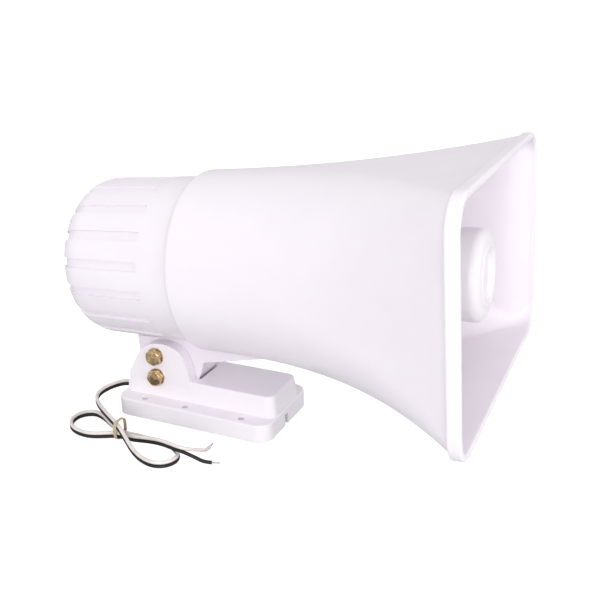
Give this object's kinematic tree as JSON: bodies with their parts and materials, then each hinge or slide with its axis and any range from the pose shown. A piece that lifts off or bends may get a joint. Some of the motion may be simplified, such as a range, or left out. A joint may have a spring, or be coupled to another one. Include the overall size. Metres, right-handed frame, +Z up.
{
  "type": "horn loudspeaker",
  "caption": "Weatherproof re-entrant horn loudspeaker with a flared rectangular mouth, ribbed round rear cover, tilting foot on a screw-down base, and a two-wire lead.",
  "frame": {"origin": "middle of the base's underside, at the centre of the four corner screw holes", "axes": "+X the way the horn points, +Y to its left, +Z up from the mounting surface"},
  "size_m": [0.2769, 0.209, 0.1849],
  "materials": {
    "white_abs": "smooth glossy moulded ABS, slightly cool white",
    "reflector_abs": "smooth glossy moulded ABS",
    "bolt_brass": "yellow passivated hex bolts",
    "washer_brass": "yellow passivated washers",
    "seal_rubber": "soft seal",
    "grommet_rubber": "soft moulded bush",
    "screw_steel": "zinc plated",
    "frame_alloy": "die cast",
    "plate_steel": "zinc plated yoke plate",
    "ferrite": "sintered ferrite",
    "plug_plastic": "moulded",
    "diaphragm_film": "thin phenolic film",
    "coil_copper": "enamelled copper winding",
    "terminal_plastic": "moulded",
    "wire_white": "PVC insulation",
    "wire_black": "PVC insulation",
    "tinned_copper": "tinned strands",
    "tie_paper": "tan tie"
  },
  "bodies": {
    "base": {"bracket_base": "white_abs", "pivot_bolt": "bolt_brass", "pivot_nut": "bolt_brass", "pivot_washers": "washer_brass", "clamp_bolt": "bolt_brass", "clamp_nut": "bolt_brass", "clamp_washers": "washer_brass", "lead_grommet": "grommet_rubber", "white_lead": "wire_white", "black_lead": "wire_black", "white_lead_tip": "tinned_copper", "black_lead_tip": "tinned_copper", "lead_tie": "tie_paper"},
    "horn": {"horn_bell": "white_abs", "rear_cover": "white_abs", "cover_seal": "seal_rubber", "cover_screws": "screw_steel", "reflector": "reflector_abs", "throat_tube": "reflector_abs", "driver_frame": "frame_alloy", "driver_gasket": "seal_rubber", "phase_plug": "plug_plastic", "surround": "seal_rubber", "surround_clamp_ring": "plug_plastic", "top_plate": "plate_steel", "magnet": "ferrite", "back_plate": "plate_steel", "driver_screws": "screw_steel", "terminal_block": "terminal_plastic", "terminals": "bolt_brass", "entry_grommet": "grommet_rubber", "inner_white_lead": "wire_white", "inner_black_lead": "wire_black"},
    "voice": {"diaphragm": "diaphragm_film", "voice_coil": "coil_copper"}
  },
  "joints": [
    {"name": "horn_tilt", "type": "hinge", "parent": "base", "child": "horn", "pos_m": [-0.0304, 0, 0.041], "axis": [0, -1, 0], "range_deg": [-12, 25]},
    {"name": "voice_travel", "type": "slide", "parent": "horn", "child": "voice", "axis": [0.9977, 0, 0.068], "range_m": [-0.0003, 0.0003], "stiffness_N_per_m": 1500}
  ]
}
